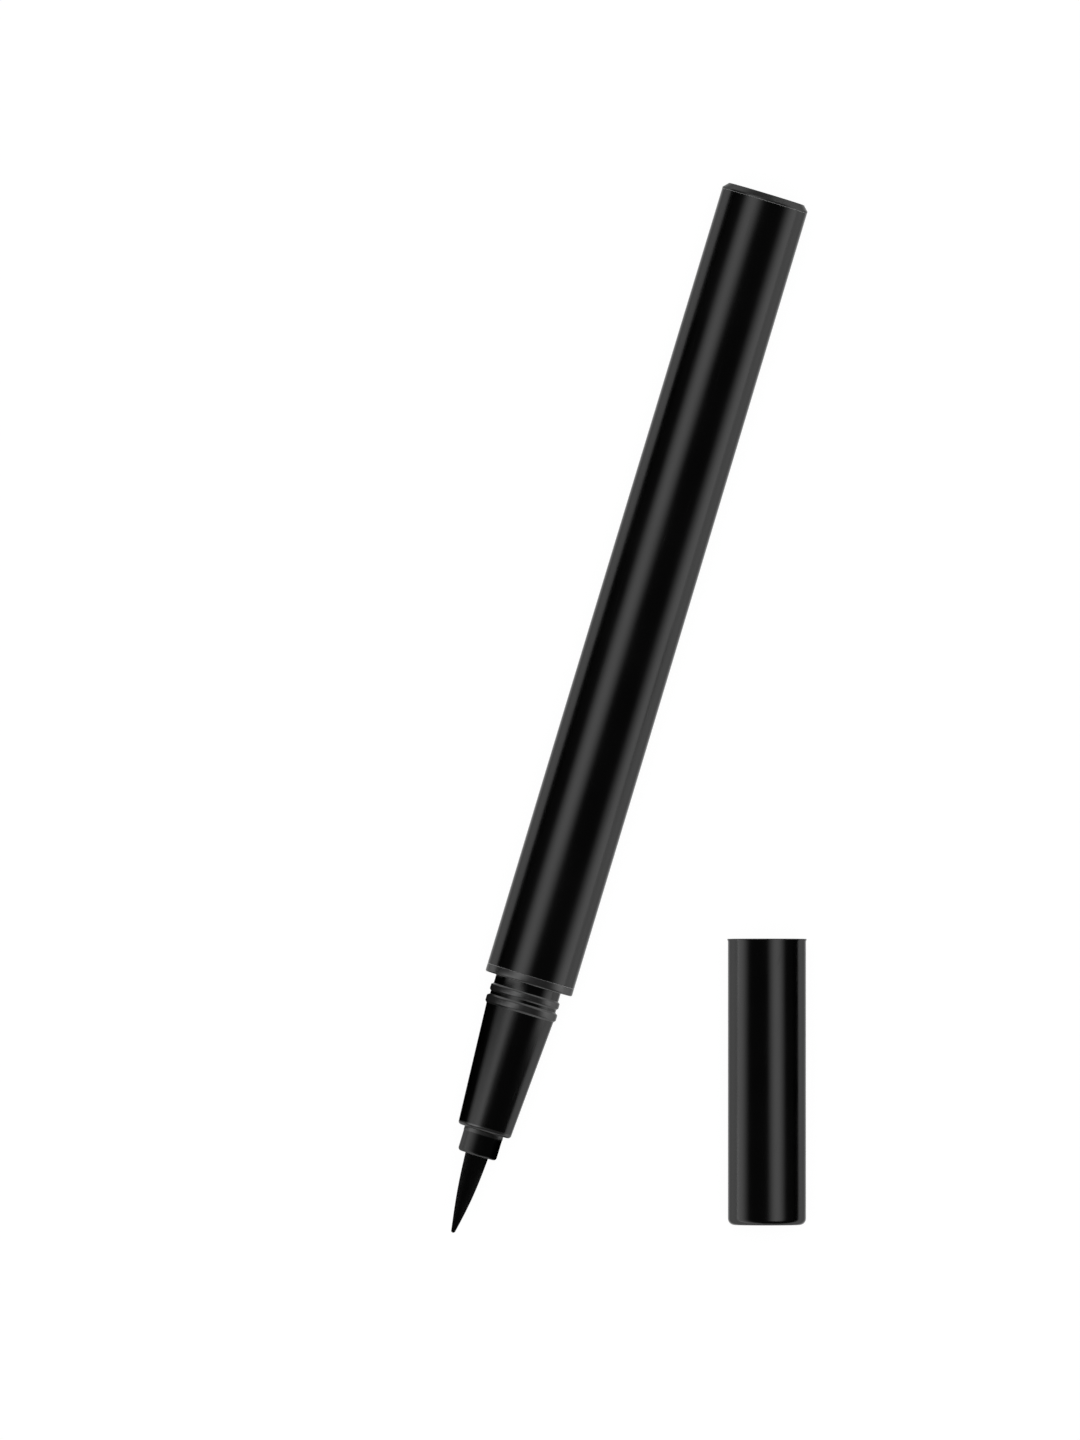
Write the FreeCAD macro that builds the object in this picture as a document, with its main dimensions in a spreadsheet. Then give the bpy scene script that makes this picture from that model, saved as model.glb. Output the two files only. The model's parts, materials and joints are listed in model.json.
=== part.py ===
import FreeCAD
import Part
import Sketcher
import math
import os

# A liquid eyeliner pen with its cap taken off and laid beside it.
# The pen lies along Y on its barrel, nib towards -Y, with +Z up. The origin is on the pen's axis, in the
# plane of the flange that the cap's rim meets. Sizes are in millimetres, angles in degrees.

SIZES = {
    # Fits
    "press_gap": 0.01,  # radial room left at a press fit
    "slip_gap": 0.05,  # radial room of a piece that slides in by hand
    "seat_gap": 0.02,  # room between two faces that seat on each other
    # Barrel, a moulded tube with a straight grip and a slight draft behind it
    "pen_dia": 11.1,
    "barrel_len": 99.55,
    "barrel_wall": 1.25,
    "barrel_draft": 0.1,  # radius lost from the end of the grip to the tail
    "grip_len": 30.0,
    # Tail plug
    "tail_land": 0.05,
    "tail_chamfer": 0.85,
    "tail_spigot_len": 4.0,
    "tail_wall": 1.2,
    "tail_floor": 1.7,
    # Nose, whose ribs, neck and cone follow the bore of the cap
    "flange_thick": 1.0,
    "flange_round": 0.25,
    "snap_gap": 0.03,  # radial room between the cap's bore and the snap rib
    "snap_rib_width": 1.2,
    "snap_rib_crest": 0.4,
    "snap_rib_height": 0.23,  # above the cone
    "rib_space": 0.37,
    "rib_space_depth": 0.32,  # below the snap rib's crest
    "guide_rib_width": 1.0,
    "guide_rib_crest": 0.35,
    "guide_rib_drop": 0.12,  # below the snap rib's crest
    "neck_len": 1.1,
    "neck_depth": 0.38,  # below the snap rib's crest
    "nose_out": 18.95,  # from the nose's front end to the flange's front face
    "nose_taper": 0.94,  # radius lost from the ribs to the front end
    "nose_round": 0.4,
    "nose_bore_inset": 0.15,  # how much narrower than the front end the rear bore is
    "nose_spigot_len": 9.0,
    # Nib holder
    "holder_out": 3.1,
    "holder_dia": 4.9,
    "holder_round": 0.4,
    "holder_band_len": 0.5,
    "holder_band_step": 0.03,
    "holder_shoulder": 0.25,
    "holder_spigot_len": 7.8,
    "holder_end_room": 0.2,  # left behind the spigot in the nose's front bore
    # Brush nib
    "nib_out": 9.95,
    "nib_dia": 2.9,
    "nib_tip_dia": 0.54,
    "nib_belly": 0.18,  # how far the taper's arc stands out from its chord
    "nib_root_step": 0.3,
    "nib_root_len": 1.0,
    "wick_socket_len": 3.0,
    # Relay wick
    "wick_dia": 1.8,
    "wick_dip": 4.0,  # length that stands in the ink
    "wick_chamfer": 0.2,
    # Ink collector
    "core_wall": 0.75,
    "fin_thick": 0.5,
    "fin_pitch": 1.1,
    "front_fin_count": 16,
    "main_fin_count": 20,
    "fin_gap": 0.1,  # radial room round the fins
    "collector_flange": 1.2,
    "ink_slot_width": 0.6,
    # Ink tank, its stopper and the steel ball that stirs the ink
    "tank_wall": 0.6,
    "tank_floor": 1.2,
    "stopper_head": 0.8,
    "stopper_plug_len": 5.0,
    "stopper_seal_len": 1.2,
    "stopper_relief": 0.2,  # how far the plug is cut back between its two seals
    "ball_dia": 3.5,
    # Cap shell
    "cap_dia": 9.6,
    "cap_wall": 0.25,
    "cap_end_wall": 0.35,
    "cap_bore_step": 0.2,  # how much the bore narrows behind the thinned mouth, from the retainer on
    "cap_corner": 0.8,
    "cap_lip_out": 0.08,
    "cap_lip_len": 0.3,
    "cap_lead_in": 0.1,
    "cap_end_room": 1.95,  # left behind the inner cap when it is pushed right in
    # Inner cap, its retainer ring and its spring
    "inner_cap_travel": 1.5,
    "inner_cap_wall": 0.55,
    "inner_cap_end": 0.5,
    "seat_depth": 4.0,  # how far the nose goes into the inner cap
    "seat_flare": 0.4,  # radius gained from the seat's end to its mouth
    "guide_tail": 0.6,  # length of the guide behind the seat
    "guide_gap": 0.1,
    "chamber_gap": 0.4,  # radial room round the nib holder
    "nib_clear": 0.4,  # room past the nib's point when the cap is on
    "retainer_len": 2.0,
    "retainer_gap": 0.17,  # radial room round the middle of the nose
    "spring_wire": 0.4,
    "spring_turns": 9,
    # Where the cap lies: the middle of its closed end, and its angle to the pen
    "cap_lie_x": 36.65,
    "cap_lie_y": -19.95,
    "cap_angle": 16.78,
}

FIND_WITHIN = 1e-4  # how close an edge lies to the place where it is looked for
GAP_POINTS_PER_TURN = 48  # points on the spring where its gap to itself is measured


class Size:
    """A number together with the sheet expression that gives it, so each formula is written once."""

    def __init__(self, value, text):
        self.value = value
        self.text = text

    def __add__(self, other):
        return Size(self.value + other.value, f"({self.text} + {other.text})")

    def __sub__(self, other):
        return Size(self.value - other.value, f"({self.text} - {other.text})")

    def __mul__(self, other):
        return Size(self.value * other.value, f"({self.text} * {other.text})")

    def __truediv__(self, other):
        if isinstance(other, Size):
            return Size(self.value / other.value, f"({self.text} / {other.text})")
        return Size(self.value / other, f"({self.text} / {other})")

    def __neg__(self):
        return Size(-self.value, f"(-{self.text})")


class Sheet:
    """The spreadsheet of driving sizes. An attribute of it is the Size of that name."""

    def __init__(self, doc, sizes):
        self.cells = doc.addObject("Spreadsheet::Sheet", "Sizes")
        for row, (alias, value) in enumerate(sizes.items(), start=1):
            self.cells.set(f"A{row}", alias)
            self.cells.set(f"B{row}", str(value))
            self.cells.setAlias(f"B{row}", alias)
        doc.recompute()

    def __getattr__(self, alias):
        return Size(float(self.cells.get(alias)), f"Sizes.{alias}")


doc = FreeCAD.newDocument("eyeliner_pen")
size = Sheet(doc, SIZES)
sub_parts = []

# Radii of the pen
pen_r = size.pen_dia / 2
tail_r = pen_r - size.barrel_draft
bore_r = pen_r - size.barrel_wall
spigot_r = bore_r - size.press_gap
cap_r = size.cap_dia / 2
cap_bore_r = cap_r - size.cap_wall
cap_inner_r = cap_bore_r - size.cap_bore_step
snap_rib_r = cap_bore_r - size.snap_gap
cone_r = snap_rib_r - size.snap_rib_height
nose_tip_r = cone_r - size.nose_taper
nose_bore_r = nose_tip_r - size.nose_bore_inset
holder_r = size.holder_dia / 2
holder_spigot_r = holder_r - size.holder_shoulder
nib_r = size.nib_dia / 2
nib_root_r = nib_r + size.nib_root_step
wick_r = size.wick_dia / 2
wick_hole_r = wick_r + size.slip_gap
tank_r = bore_r - size.slip_gap
tank_bore_r = tank_r - size.tank_wall

# Stations along the pen, from the nib's point towards the tail
holder_front = size.nib_out
nose_front = holder_front + size.holder_out
holder_rear = nose_front + size.holder_spigot_len
nib_root_front = holder_rear - size.nib_root_len
wick_socket_front = holder_rear - size.wick_socket_len
front_bore_rear = holder_rear + size.holder_end_room
flange_front = nose_front + size.nose_out
barrel_front = flange_front + size.flange_thick
nose_rear = barrel_front + size.nose_spigot_len
main_flange_front = nose_rear + size.seat_gap
main_flange_rear = main_flange_front + size.collector_flange
fin_room = size.fin_pitch - size.fin_thick
end_flange_front = main_flange_rear + size.main_fin_count * size.fin_pitch + fin_room
collector_front = front_bore_rear + size.seat_gap
collector_rear = end_flange_front + size.collector_flange
stopper_front = collector_rear + size.seat_gap
tank_mouth = stopper_front + size.stopper_head + size.seat_gap
stopper_rear = tank_mouth + size.stopper_plug_len
wick_rear = stopper_rear + size.wick_dip
barrel_rear = barrel_front + size.barrel_len
tail_spigot_front = barrel_rear - size.tail_spigot_len
tank_rear = tail_spigot_front - size.seat_gap
tank_floor_front = tank_rear - size.tank_floor
tail_end = barrel_rear + size.tail_land + size.tail_chamfer

# Depths in the cap from its mouth. The inner cap waits at its retainer, one travel short of where it seats on
# the nose.
inner_cap_depth = size.nose_out - size.seat_depth - size.inner_cap_travel
inner_cap_len = size.seat_depth + size.holder_out + size.nib_out + size.nib_clear + size.inner_cap_end
cap_room = inner_cap_depth + inner_cap_len + size.inner_cap_travel + size.cap_end_room

# Stations and radii of the cap, from its closed end towards its mouth
cap_len = cap_room + size.cap_end_wall
inner_cap_mouth = cap_len - inner_cap_depth
retainer_rear = inner_cap_mouth + size.seat_gap
retainer_front = retainer_rear + size.retainer_len
inner_cap_closed = inner_cap_mouth - inner_cap_len
seat_end = inner_cap_mouth - size.seat_depth
guide_rear = seat_end - size.guide_tail
chamber_r = holder_r + size.chamber_gap
inner_cap_r = chamber_r + size.inner_cap_wall
cap_lip_r = cap_r + size.cap_lip_out
cap_axis_height = cap_lip_r - pen_r


def origin_part(body, role):
    """The body's own origin plane or axis of that role."""
    return next(part for part in body.Origin.OriginFeatures if part.Role == role)


def bind(sketch, constraint, entry):
    """Adds a constraint whose value follows the sheet."""
    sketch.setExpression(f"Constraints[{sketch.addConstraint(constraint)}]", entry.text)


def draw(sketch, corners):
    """Draws a closed outline, counterclockwise. A corner is (radius, station), or (radius, station, arc
    radius) where the stretch to the next corner is an arc that bulges outwards. Zero is on that axis."""
    places = [[getattr(entry, "value", entry) for entry in corner[:2]] for corner in corners]
    points = [FreeCAD.Vector(*place) for place in places]
    normal = FreeCAD.Vector(0, 0, 1)
    for i, corner in enumerate(corners):
        start, end = points[i], points[(i + 1) % len(points)]
        if len(corner) == 2:
            sketch.addGeometry(Part.LineSegment(start, end))
            continue
        chord = end - start
        arc_r = corner[2].value
        sagitta = arc_r - math.sqrt(max(arc_r**2 - (chord.Length / 2) ** 2, 0))
        crown = (start + end) / 2 + chord.cross(normal).normalize() * sagitta
        sketch.addGeometry(Part.Arc(start, crown, end))
    for i, corner in enumerate(corners):
        sketch.addConstraint(Sketcher.Constraint("Coincident", i, 2, (i + 1) % len(corners), 1))
        for kind, entry, axis in (("DistanceX", corner[0], -2), ("DistanceY", corner[1], -1)):
            if isinstance(entry, Size):
                bind(sketch, Sketcher.Constraint(kind, -1, 1, i, 1, entry.value), entry)
            else:
                sketch.addConstraint(Sketcher.Constraint("PointOnObject", i, 1, axis))
        if len(corner) == 3:
            bind(sketch, Sketcher.Constraint("Radius", i, corner[2].value), corner[2])


def new_body(label):
    body = doc.addObject("PartDesign::Body", label)
    body.Label = label
    sub_parts.append(body)
    return body


def new_sketch(body, name, corners):
    sketch = body.newObject("Sketcher::SketchObject", name)
    sketch.AttachmentSupport = [(origin_part(body, "XY_Plane"), "")]
    sketch.MapMode = "FlatFace"
    draw(sketch, corners)
    return sketch


def turn(body, name, corners):
    """Revolves an outline about the body's Y axis."""
    sketch = new_sketch(body, f"{name}_outline", corners)
    turned = body.newObject("PartDesign::Revolution", f"{name}_turned")
    turned.Profile = sketch
    turned.ReferenceAxis = (sketch, ["V_Axis"])
    turned.Angle = 360
    doc.recompute()
    return turned


def dress_edge(body, kind, name, length, radius, station):
    """Rounds or chamfers the circular edge at a radius and a station."""
    edges = [
        f"Edge{number}"
        for number, edge in enumerate(body.Tip.Shape.Edges, start=1)
        if isinstance(edge.Curve, Part.Circle)
        and abs(edge.Curve.Radius - radius.value) < FIND_WITHIN
        and abs(edge.Curve.Center.y - getattr(station, "value", station)) < FIND_WITHIN
    ]
    if not edges:
        raise RuntimeError(f"{body.Label} has no edge for {name}")
    base = body.Tip
    dressed = body.newObject(f"PartDesign::{kind}", name)
    dressed.Base = (base, edges)
    dressed.setExpression("Radius" if kind == "Fillet" else "Size", length.text)
    doc.recompute()


def place_on_pen(piece):
    """Puts the flange's front face at the origin."""
    piece.setExpression("Placement.Base.y", (-flange_front).text)


def place_in_cap(piece):
    """Lays the cap on the same surface as the pen, at its angle."""
    piece.setExpression("Placement.Base.x", size.cap_lie_x.text)
    piece.setExpression("Placement.Base.y", size.cap_lie_y.text)
    piece.setExpression("Placement.Base.z", cap_axis_height.text)
    piece.setExpression("Placement.Rotation.Angle", size.cap_angle.text)


def barrel():
    body = new_body("barrel")
    turn(body, "barrel", [
        (bore_r, barrel_front),
        (pen_r, barrel_front),
        (pen_r, barrel_front + size.grip_len),
        (tail_r, barrel_rear),
        (bore_r, barrel_rear),
    ])
    place_on_pen(body)


def tail_plug():
    body = new_body("tail_plug")
    core_r = spigot_r - size.tail_wall
    core_end = tail_end - size.tail_floor
    head_front = barrel_rear + size.seat_gap
    turn(body, "tail_plug", [
        (core_r, tail_spigot_front),
        (spigot_r, tail_spigot_front),
        (spigot_r, head_front),
        (tail_r, head_front),
        (tail_r, tail_end - size.tail_chamfer),
        (tail_r - size.tail_chamfer, tail_end),
        (0, tail_end),
        (0, core_end),
        (core_r, core_end),
    ])
    place_on_pen(body)


def nose():
    """The flange and two ribs that the cap closes on, a long cone, and a spigot pressed into the barrel."""
    body = new_body("nose")
    neck_r = snap_rib_r - size.neck_depth
    rib_space_r = snap_rib_r - size.rib_space_depth
    guide_rib_r = snap_rib_r - size.guide_rib_drop
    front_bore_r = holder_spigot_r + size.press_gap
    guide_rib_rear = flange_front - size.neck_len
    guide_rib_front = guide_rib_rear - size.guide_rib_width
    snap_rib_rear = guide_rib_front - size.rib_space
    snap_rib_front = snap_rib_rear - size.snap_rib_width
    guide_rib_slope = (size.guide_rib_width - size.guide_rib_crest) / 2
    snap_rib_slope = (size.snap_rib_width - size.snap_rib_crest) / 2
    flange_rear = barrel_front - size.seat_gap
    turn(body, "nose", [
        (front_bore_r, nose_front),
        (nose_tip_r, nose_front),
        (cone_r, snap_rib_front),
        (snap_rib_r, snap_rib_front + snap_rib_slope),
        (snap_rib_r, snap_rib_rear - snap_rib_slope),
        (rib_space_r, snap_rib_rear),
        (rib_space_r, guide_rib_front),
        (guide_rib_r, guide_rib_front + guide_rib_slope),
        (guide_rib_r, guide_rib_rear - guide_rib_slope),
        (neck_r, guide_rib_rear),
        (neck_r, flange_front),
        (pen_r, flange_front),
        (pen_r, flange_rear),
        (spigot_r, flange_rear),
        (spigot_r, nose_rear),
        (nose_bore_r, nose_rear),
        (nose_bore_r, front_bore_rear),
        (front_bore_r, front_bore_rear),
    ])
    dress_edge(body, "Fillet", "flange_edge", size.flange_round, pen_r, flange_front)
    dress_edge(body, "Fillet", "nose_edge", size.nose_round, nose_tip_r, nose_front)
    place_on_pen(body)


def nib_holder():
    body = new_body("nib_holder")
    band_r = holder_r + size.holder_band_step
    band_front = nose_front - size.holder_band_len
    band_rear = nose_front - size.seat_gap
    nib_hole_r = nib_r + size.slip_gap
    recess_r = nib_root_r + size.slip_gap
    recess_front = nib_root_front - size.seat_gap
    turn(body, "nib_holder", [
        (nib_hole_r, holder_front),
        (holder_r, holder_front),
        (holder_r, band_front),
        (band_r, band_front),
        (band_r, band_rear),
        (holder_spigot_r, band_rear),
        (holder_spigot_r, holder_rear),
        (recess_r, holder_rear),
        (recess_r, recess_front),
        (nib_hole_r, recess_front),
    ])
    dress_edge(body, "Fillet", "holder_edge", size.holder_round, holder_r, holder_front)
    place_on_pen(body)


def brush_nib():
    """A fibre nib: a blunt point, a full-bellied taper, a straight shank and a root that can't pull out."""
    body = new_body("brush_nib")
    tip_r = size.nib_tip_dia / 2
    taper_len = holder_front - tip_r
    taper_rise = nib_r - tip_r
    chord_squared = taper_len * taper_len + taper_rise * taper_rise
    belly_r = chord_squared / size.nib_belly / 8 + size.nib_belly / 2
    turn(body, "brush_nib", [
        (0, 0, tip_r),
        (tip_r, tip_r, belly_r),
        (nib_r, holder_front),
        (nib_r, nib_root_front),
        (nib_root_r, nib_root_front),
        (nib_root_r, holder_rear),
        (wick_hole_r, holder_rear),
        (wick_hole_r, wick_socket_front),
        (0, wick_socket_front),
    ])
    place_on_pen(body)


def relay_wick():
    """Carries ink from the tank through the stopper and the collector to the nib."""
    body = new_body("relay_wick")
    wick_front = wick_socket_front + size.seat_gap
    turn(body, "relay_wick", [
        (0, wick_front),
        (wick_r, wick_front),
        (wick_r, wick_rear),
        (0, wick_rear),
    ])
    dress_edge(body, "Chamfer", "wick_front_edge", size.wick_chamfer, wick_r, wick_front)
    dress_edge(body, "Chamfer", "wick_rear_edge", size.wick_chamfer, wick_r, wick_rear)
    place_on_pen(body)


def add_fins(body, name, core_r, fin_r, front, count):
    """A row of thin discs along the collector, whose gaps hold spare ink."""
    fin = turn(body, f"{name}_fin", [
        (core_r - size.fin_gap, front),
        (fin_r, front),
        (fin_r, front + size.fin_thick),
        (core_r - size.fin_gap, front + size.fin_thick),
    ])
    row = body.newObject("PartDesign::LinearPattern", f"{name}_fin_row")
    row.Originals = [fin]
    row.Direction = (origin_part(body, "Y_Axis"), [""])
    row.setExpression("Occurrences", count.text)
    row.setExpression("Length", (count * size.fin_pitch - size.fin_pitch).text)
    body.Tip = row
    doc.recompute()


def collector():
    """A comb of fins on a hollow core, with a slot along it that feeds ink to every gap."""
    body = new_body("collector")
    core_r = wick_hole_r + size.core_wall
    main_fin_r = bore_r - size.fin_gap
    front_fin_r = nose_bore_r - size.fin_gap
    turn(body, "collector_core", [
        (wick_hole_r, collector_front),
        (core_r, collector_front),
        (core_r, main_flange_front),
        (main_fin_r, main_flange_front),
        (main_fin_r, main_flange_rear),
        (core_r, main_flange_rear),
        (core_r, end_flange_front),
        (main_fin_r, end_flange_front),
        (main_fin_r, collector_rear),
        (wick_hole_r, collector_rear),
    ])
    add_fins(body, "front", core_r, front_fin_r, collector_front + fin_room, size.front_fin_count)
    add_fins(body, "main", core_r, main_fin_r, main_flange_rear + fin_room, size.main_fin_count)
    volume_before = body.Tip.Shape.Volume
    sketch = new_sketch(body, "ink_slot_outline", [
        (core_r, collector_front),
        (bore_r, collector_front),
        (bore_r, collector_rear),
        (core_r, collector_rear),
    ])
    slot = body.newObject("PartDesign::Pocket", "ink_slot")
    slot.Profile = sketch
    slot.Midplane = True
    slot.setExpression("Length", size.ink_slot_width.text)
    doc.recompute()
    if body.Tip.Shape.Volume >= volume_before:
        raise RuntimeError("the ink slot cuts nothing")
    place_on_pen(body)


def tank_stopper():
    body = new_body("tank_stopper")
    seal_r = tank_bore_r - size.press_gap
    relief_r = seal_r - size.stopper_relief
    head_rear = stopper_front + size.stopper_head
    turn(body, "tank_stopper", [
        (wick_hole_r, stopper_front),
        (tank_r, stopper_front),
        (tank_r, head_rear),
        (seal_r, head_rear),
        (seal_r, tank_mouth + size.stopper_seal_len),
        (relief_r, tank_mouth + size.stopper_seal_len),
        (relief_r, stopper_rear - size.stopper_seal_len),
        (seal_r, stopper_rear - size.stopper_seal_len),
        (seal_r, stopper_rear),
        (wick_hole_r, stopper_rear),
    ])
    place_on_pen(body)


def ink_tank():
    body = new_body("ink_tank")
    turn(body, "ink_tank", [
        (tank_bore_r, tank_mouth),
        (tank_r, tank_mouth),
        (tank_r, tank_rear),
        (0, tank_rear),
        (0, tank_floor_front),
        (tank_bore_r, tank_floor_front),
    ])
    place_on_pen(body)


def mixing_ball():
    """Lies on the tank's lower wall, halfway along its run from the wick's end to the tank's floor."""
    ball = doc.addObject("Part::Sphere", "mixing_ball")
    ball.Label = "mixing_ball"
    ball_r = size.ball_dia / 2
    middle = (wick_rear + tank_floor_front) / 2
    ball.setExpression("Radius", ball_r.text)
    ball.setExpression("Placement.Base.y", (middle - flange_front).text)
    ball.setExpression("Placement.Base.z", (ball_r + size.slip_gap - tank_bore_r).text)
    sub_parts.append(ball)


def cap_shell():
    """A thin drawn shell, rounded at its closed end, barely flared at its mouth and eased inside it."""
    body = new_body("cap_shell")
    turn(body, "cap_shell", [
        (0, 0),
        (cap_r, 0),
        (cap_r, cap_len - size.cap_lip_len),
        (cap_lip_r, cap_len),
        (cap_bore_r, cap_len),
        (cap_bore_r, retainer_front),
        (cap_inner_r, retainer_front),
        (cap_inner_r, size.cap_end_wall),
        (0, size.cap_end_wall),
    ])
    dress_edge(body, "Fillet", "cap_corner", size.cap_corner, cap_r, 0)
    inside_corner = size.cap_corner - size.cap_wall
    dress_edge(body, "Fillet", "cap_inside_corner", inside_corner, cap_inner_r, size.cap_end_wall)
    dress_edge(body, "Chamfer", "cap_mouth_edge", size.cap_lead_in, cap_bore_r, cap_len)
    place_in_cap(body)


def inner_cap_retainer():
    body = new_body("inner_cap_retainer")
    outer_r = cap_inner_r - size.press_gap
    hole_r = (nose_tip_r + cone_r) / 2 + size.retainer_gap
    turn(body, "retainer", [
        (hole_r, retainer_rear),
        (outer_r, retainer_rear),
        (outer_r, retainer_front),
        (hole_r, retainer_front),
    ])
    place_in_cap(body)


def inner_cap():
    """A sliding cup with a flared seat that seals on the nose, and a chamber round the nib."""
    body = new_body("inner_cap")
    guide_r = cap_inner_r - size.guide_gap
    seat_r = nose_tip_r + size.seat_gap
    chamber_end = inner_cap_closed + size.inner_cap_end
    turn(body, "inner_cap", [
        (0, inner_cap_closed),
        (inner_cap_r, inner_cap_closed),
        (inner_cap_r, guide_rear),
        (guide_r, guide_rear),
        (guide_r, inner_cap_mouth),
        (seat_r + size.seat_flare, inner_cap_mouth),
        (seat_r, seat_end),
        (chamber_r, seat_end),
        (chamber_r, chamber_end),
        (0, chamber_end),
    ])
    place_in_cap(body)


def biarc(start, start_way, end, end_way):
    """Two arcs that leave start along start_way and reach end along end_way, tangent where they meet."""
    across = end - start
    forward = across.dot(start_way + end_way)
    turn_share = 2 * (1 - start_way.dot(end_way))
    reach = (math.sqrt(forward**2 + turn_share * across.dot(across)) - forward) / turn_share
    corners = start + start_way * reach, end - end_way * reach
    meeting = (corners[0] + corners[1]) / 2

    def arc(first, corner, last):
        half_chord = (last - first) / 2
        rise = corner - first - half_chord
        angle = math.atan2(rise.Length, half_chord.Length)
        sagitta_share = math.tan(angle / 2) / math.tan(angle)
        return Part.Arc(first, first + half_chord + rise * sagitta_share, last)

    return arc(start, corners[0], meeting), arc(meeting, corners[1], end)


def cap_spring():
    """One open coil in the room round the inner cap, from the shell's closed end to the back of the guide."""
    wire_r = size.spring_wire.value / 2
    coil_r = (inner_cap_r.value + cap_inner_r.value) / 2
    first = (size.cap_end_wall + size.seat_gap).value + wire_r
    last = (guide_rear - size.seat_gap).value - wire_r
    turns = size.spring_turns.value
    full_angle = 2 * math.pi * turns
    climb = (last - first) / full_angle

    def place(angle):
        return FreeCAD.Vector(coil_r * math.cos(angle), first + climb * angle, coil_r * math.sin(angle))

    def way(angle):
        return FreeCAD.Vector(-coil_r * math.sin(angle), climb, coil_r * math.cos(angle)).normalize()

    quarters = round(4 * turns)
    angles = [full_angle * i / quarters for i in range(quarters + 1)]
    arcs = [arc for a, b in zip(angles, angles[1:]) for arc in biarc(place(a), way(a), place(b), way(b))]
    path = Part.Wire([arc.toShape() for arc in arcs])
    section = Part.Wire(Part.Circle(place(0), way(0), wire_r).toShape())
    coil = path.makePipeShell([section], True, False)
    expected = math.pi * wire_r**2 * path.Length
    if abs(coil.Volume - expected) > expected / 100:
        raise RuntimeError(f"the spring's volume is {coil.Volume:.3f}, not {expected:.3f}")
    points = path.discretize(Number=round(turns * GAP_POINTS_PER_TURN))
    half_turn = GAP_POINTS_PER_TURN // 2
    nearest = min(
        point.distanceToPoint(other) for i, point in enumerate(points) for other in points[i + half_turn:]
    )
    print(f"cap_spring: least gap to itself {nearest - 2 * wire_r:.2f} mm")
    spring = doc.addObject("Part::Feature", "cap_spring")
    spring.Label = "cap_spring"
    spring.Shape = coil
    place_in_cap(spring)
    sub_parts.append(spring)


def write_parts():
    doc.recompute()
    for thing in doc.Objects:
        if "Invalid" in thing.State or "Error" in thing.State:
            raise RuntimeError(f"{thing.Label} failed: {thing.State}")
    for piece in sub_parts:
        if piece.Shape.isNull() or not piece.Shape.isValid() or not piece.Shape.Solids:
            raise RuntimeError(f"{piece.Label} has no valid solid")
    os.makedirs("parts", exist_ok=True)
    for piece in sub_parts:
        piece.Shape.exportStep(f"parts/{piece.Label}.step")
        print(f"{piece.Label}: {len(piece.Shape.Solids)} solid, {piece.Shape.Volume:.2f} mm3")


barrel()
tail_plug()
nose()
nib_holder()
brush_nib()
relay_wick()
collector()
tank_stopper()
ink_tank()
mixing_ball()
cap_shell()
inner_cap_retainer()
inner_cap()
cap_spring()
write_parts()
print(f"cap length {cap_len.value:.2f} mm, pen length {tail_end.value:.2f} mm")
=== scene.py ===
import json
import math
import bpy
import numpy as np
from mathutils import Matrix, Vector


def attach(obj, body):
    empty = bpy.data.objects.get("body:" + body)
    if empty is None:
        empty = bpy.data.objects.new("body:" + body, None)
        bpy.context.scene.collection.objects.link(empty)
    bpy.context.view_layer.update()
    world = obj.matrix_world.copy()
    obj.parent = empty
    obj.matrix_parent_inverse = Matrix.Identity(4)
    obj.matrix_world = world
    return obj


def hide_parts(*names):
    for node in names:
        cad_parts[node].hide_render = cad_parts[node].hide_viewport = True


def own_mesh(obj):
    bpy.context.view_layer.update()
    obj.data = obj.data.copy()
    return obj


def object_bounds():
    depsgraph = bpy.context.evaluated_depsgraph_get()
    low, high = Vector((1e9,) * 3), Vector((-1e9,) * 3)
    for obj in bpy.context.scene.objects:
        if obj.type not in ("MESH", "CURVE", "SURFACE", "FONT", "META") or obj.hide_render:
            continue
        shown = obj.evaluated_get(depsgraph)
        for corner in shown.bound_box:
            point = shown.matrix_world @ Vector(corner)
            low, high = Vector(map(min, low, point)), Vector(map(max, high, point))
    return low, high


# A liquid eyeliner pen with its cap off, lying on a white table and seen from straight above.
# Lengths in the dictionaries are millimetres and angles are degrees. The pen lies along Y, nib towards -Y.

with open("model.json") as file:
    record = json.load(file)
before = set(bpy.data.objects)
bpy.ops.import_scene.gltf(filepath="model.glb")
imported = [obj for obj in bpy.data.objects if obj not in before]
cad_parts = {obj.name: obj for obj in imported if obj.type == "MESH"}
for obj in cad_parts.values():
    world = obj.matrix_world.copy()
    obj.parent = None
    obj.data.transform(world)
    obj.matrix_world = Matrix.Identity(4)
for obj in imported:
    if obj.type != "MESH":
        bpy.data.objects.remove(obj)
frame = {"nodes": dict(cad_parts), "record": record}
cadLow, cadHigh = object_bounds()
nodes = frame["nodes"]
mounts = {mount["name"]: mount for mount in frame["record"]["mounts"]}
mm = 0.001


# Places, read from the frame

def placeOf(origin, along):
    # Rows of axes are right, along and up: a local point is right * x + along * y + up * z from the origin
    along = np.array(along, float) / np.linalg.norm(along)
    up = np.array((0.0, 0.0, 1.0))
    return {"origin": np.array(origin, float), "axes": np.stack([np.cross(along, up), along, up])}


def extent(node, place):
    # First station, last station and greatest radius of a node about a place's axis
    mesh = nodes[node].data
    points = np.empty(len(mesh.vertices) * 3)
    mesh.vertices.foreach_get("co", points)
    local = (points.reshape(-1, 3) - place["origin"]) @ place["axes"].T / mm
    return local[:, 1].min(), local[:, 1].max(), np.hypot(local[:, 0], local[:, 2]).max()


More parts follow.
